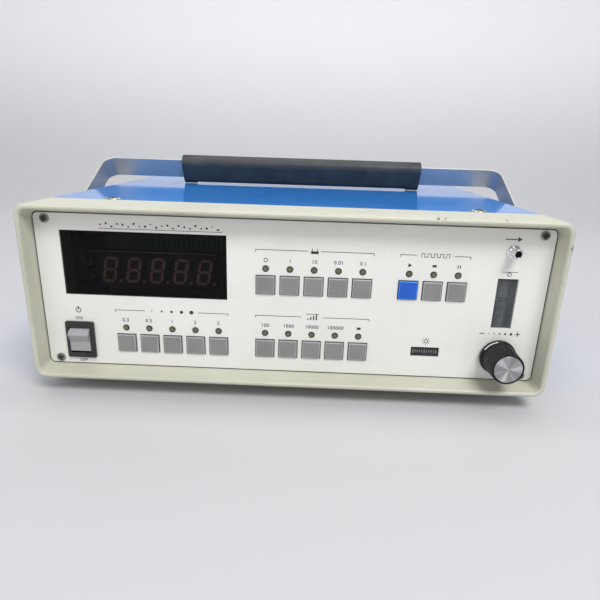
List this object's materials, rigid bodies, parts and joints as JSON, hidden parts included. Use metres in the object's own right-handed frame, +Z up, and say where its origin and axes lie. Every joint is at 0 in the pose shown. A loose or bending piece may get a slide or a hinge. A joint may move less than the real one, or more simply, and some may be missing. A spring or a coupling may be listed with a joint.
{
  "type": "airborne particle counter",
  "caption": "Bench-top instrument in a blue case with cream end frames, a recessed panel of push keys, dark display, flow window and knob, and a swing handle over the top.",
  "frame": {"origin": "on the ground under the middle of the whole outline", "axes": "+X to the user's right across the front, +Y towards the back, +Z up; the panel faces -Y"},
  "size_m": [0.3082, 0.276, 0.1244],
  "materials": {
    "cream_moulding": "semi-gloss",
    "blue_cover": "gloss",
    "panel_white": "semi-gloss",
    "key_grey": "satin",
    "key_blue": "satin",
    "window_black": "gloss",
    "lamp_olive": "gloss",
    "black_plastic": "semi-gloss",
    "rocker_grey": "semi-gloss",
    "chrome_fitting": "polished",
    "clear_acrylic": "clear",
    "ball_black": "gloss",
    "valve_brass": "machined",
    "spindle_steel": "ground",
    "spun_aluminium": "spun",
    "brushed_strap": "brushed",
    "charcoal_grip": "matt",
    "rubber_foot": "matt",
    "zinc_steel": "zinc plated",
    "screw_steel": "plated",
    "board_green": "satin",
    "core_steel": "varnished",
    "black_anodised": "anodised",
    "tube_metal": "satin",
    "pump_grey": "satin",
    "filter_white": "matt",
    "hose_soft": "satin"
  },
  "bodies": {
    "case": {"front_frame": "cream_moulding", "rear_frame": "cream_moulding", "top_cover": "blue_cover", "bottom_cover": "blue_cover", "feet": "rubber_foot", "side_rail_left": "zinc_steel", "side_rail_right": "zinc_steel", "chassis_plate": "zinc_steel", "pivot_screws": "zinc_steel", "pivot_hubs": "zinc_steel", "panel_screws": "screw_steel", "cover_screws": "screw_steel", "front_panel": "panel_white", "rear_panel": "panel_white", "display_window": "window_black", "key_switches": "black_plastic", "rocker_bezel": "black_plastic", "power_inlet": "black_plastic", "fuse_holder": "black_plastic", "digit_modules": "black_plastic", "hour_meter": "black_plastic", "status_leds": "lamp_olive", "display_board": "board_green", "main_board": "board_green", "outlet_nipple": "chrome_fitting", "inlet_nipple": "chrome_fitting", "flowmeter_block": "clear_acrylic", "needle_valve": "valve_brass", "transformer": "core_steel", "optical_block": "black_anodised", "lamp_housing": "black_anodised", "detector_tube": "tube_metal", "pump": "pump_grey", "exhaust_filter": "filter_white", "air_tubes": "hose_soft"},
    "handle": {"handle_strap": "brushed_strap", "handle_grip": "charcoal_grip"},
    "rocker": {"rocker_actuator": "rocker_grey"},
    "knob": {"knob": "black_plastic", "knob_cap": "spun_aluminium", "valve_spindle": "spindle_steel"},
    "ball": {"flow_ball": "ball_black"},
    "size_key_1": {"size_key_1": "key_grey"},
    "size_key_2": {"size_key_2": "key_grey"},
    "size_key_3": {"size_key_3": "key_grey"},
    "size_key_4": {"size_key_4": "key_grey"},
    "size_key_5": {"size_key_5": "key_grey"},
    "alarm_key_1": {"alarm_key_1": "key_grey"},
    "alarm_key_2": {"alarm_key_2": "key_grey"},
    "alarm_key_3": {"alarm_key_3": "key_grey"},
    "alarm_key_4": {"alarm_key_4": "key_grey"},
    "alarm_key_5": {"alarm_key_5": "key_grey"},
    "volume_key_1": {"volume_key_1": "key_grey"},
    "volume_key_2": {"volume_key_2": "key_grey"},
    "volume_key_3": {"volume_key_3": "key_grey"},
    "volume_key_4": {"volume_key_4": "key_grey"},
    "volume_key_5": {"volume_key_5": "key_grey"},
    "start_key": {"start_key": "key_blue"},
    "stop_key": {"stop_key": "key_grey"},
    "hold_key": {"hold_key": "key_grey"}
  },
  "joints": [
    {"name": "handle_swing", "type": "hinge", "parent": "case", "child": "handle", "pos_m": [0, -0.068, 0.0634], "axis": [1, 0, 0], "range_deg": [0, 210]},
    {"name": "rocker_tilt", "type": "hinge", "parent": "case", "child": "rocker", "pos_m": [-0.11532, -0.1185, 0.0286], "axis": [-1, 0, 0], "range_deg": [0, 25]},
    {"name": "knob_turn", "type": "hinge", "parent": "case", "child": "knob", "pos_m": [0.11322, -0.13, 0.0286], "axis": [0, -1, 0], "range_deg": [0, 1080]},
    {"name": "ball_rise", "type": "slide", "parent": "case", "child": "ball", "axis": [0, 0, 1], "range_m": [0, 0.022]},
    {"name": "size_key_1_press", "type": "slide", "parent": "case", "child": "size_key_1", "axis": [0, 1, 0], "range_m": [0, 0.001], "stiffness_N_per_m": 1000, "springref_m": -0.0005},
    {"name": "size_key_2_press", "type": "slide", "parent": "case", "child": "size_key_2", "axis": [0, 1, 0], "range_m": [0, 0.001], "stiffness_N_per_m": 1000, "springref_m": -0.0005},
    {"name": "size_key_3_press", "type": "slide", "parent": "case", "child": "size_key_3", "axis": [0, 1, 0], "range_m": [0, 0.001], "stiffness_N_per_m": 1000, "springref_m": -0.0005},
    {"name": "size_key_4_press", "type": "slide", "parent": "case", "child": "size_key_4", "axis": [0, 1, 0], "range_m": [0, 0.001], "stiffness_N_per_m": 1000, "springref_m": -0.0005},
    {"name": "size_key_5_press", "type": "slide", "parent": "case", "child": "size_key_5", "axis": [0, 1, 0], "range_m": [0, 0.001], "stiffness_N_per_m": 1000, "springref_m": -0.0005},
    {"name": "alarm_key_1_press", "type": "slide", "parent": "case", "child": "alarm_key_1", "axis": [0, 1, 0], "range_m": [0, 0.001], "stiffness_N_per_m": 1000, "springref_m": -0.0005},
    {"name": "alarm_key_2_press", "type": "slide", "parent": "case", "child": "alarm_key_2", "axis": [0, 1, 0], "range_m": [0, 0.001], "stiffness_N_per_m": 1000, "springref_m": -0.0005},
    {"name": "alarm_key_3_press", "type": "slide", "parent": "case", "child": "alarm_key_3", "axis": [0, 1, 0], "range_m": [0, 0.001], "stiffness_N_per_m": 1000, "springref_m": -0.0005},
    {"name": "alarm_key_4_press", "type": "slide", "parent": "case", "child": "alarm_key_4", "axis": [0, 1, 0], "range_m": [0, 0.001], "stiffness_N_per_m": 1000, "springref_m": -0.0005},
    {"name": "alarm_key_5_press", "type": "slide", "parent": "case", "child": "alarm_key_5", "axis": [0, 1, 0], "range_m": [0, 0.001], "stiffness_N_per_m": 1000, "springref_m": -0.0005},
    {"name": "volume_key_1_press", "type": "slide", "parent": "case", "child": "volume_key_1", "axis": [0, 1, 0], "range_m": [0, 0.001], "stiffness_N_per_m": 1000, "springref_m": -0.0005},
    {"name": "volume_key_2_press", "type": "slide", "parent": "case", "child": "volume_key_2", "axis": [0, 1, 0], "range_m": [0, 0.001], "stiffness_N_per_m": 1000, "springref_m": -0.0005},
    {"name": "volume_key_3_press", "type": "slide", "parent": "case", "child": "volume_key_3", "axis": [0, 1, 0], "range_m": [0, 0.001], "stiffness_N_per_m": 1000, "springref_m": -0.0005},
    {"name": "volume_key_4_press", "type": "slide", "parent": "case", "child": "volume_key_4", "axis": [0, 1, 0], "range_m": [0, 0.001], "stiffness_N_per_m": 1000, "springref_m": -0.0005},
    {"name": "volume_key_5_press", "type": "slide", "parent": "case", "child": "volume_key_5", "axis": [0, 1, 0], "range_m": [0, 0.001], "stiffness_N_per_m": 1000, "springref_m": -0.0005},
    {"name": "start_key_press", "type": "slide", "parent": "case", "child": "start_key", "axis": [0, 1, 0], "range_m": [0, 0.001], "stiffness_N_per_m": 1000, "springref_m": -0.0005},
    {"name": "stop_key_press", "type": "slide", "parent": "case", "child": "stop_key", "axis": [0, 1, 0], "range_m": [0, 0.001], "stiffness_N_per_m": 1000, "springref_m": -0.0005},
    {"name": "hold_key_press", "type": "slide", "parent": "case", "child": "hold_key", "axis": [0, 1, 0], "range_m": [0, 0.001], "stiffness_N_per_m": 1000, "springref_m": -0.0005}
  ]
}
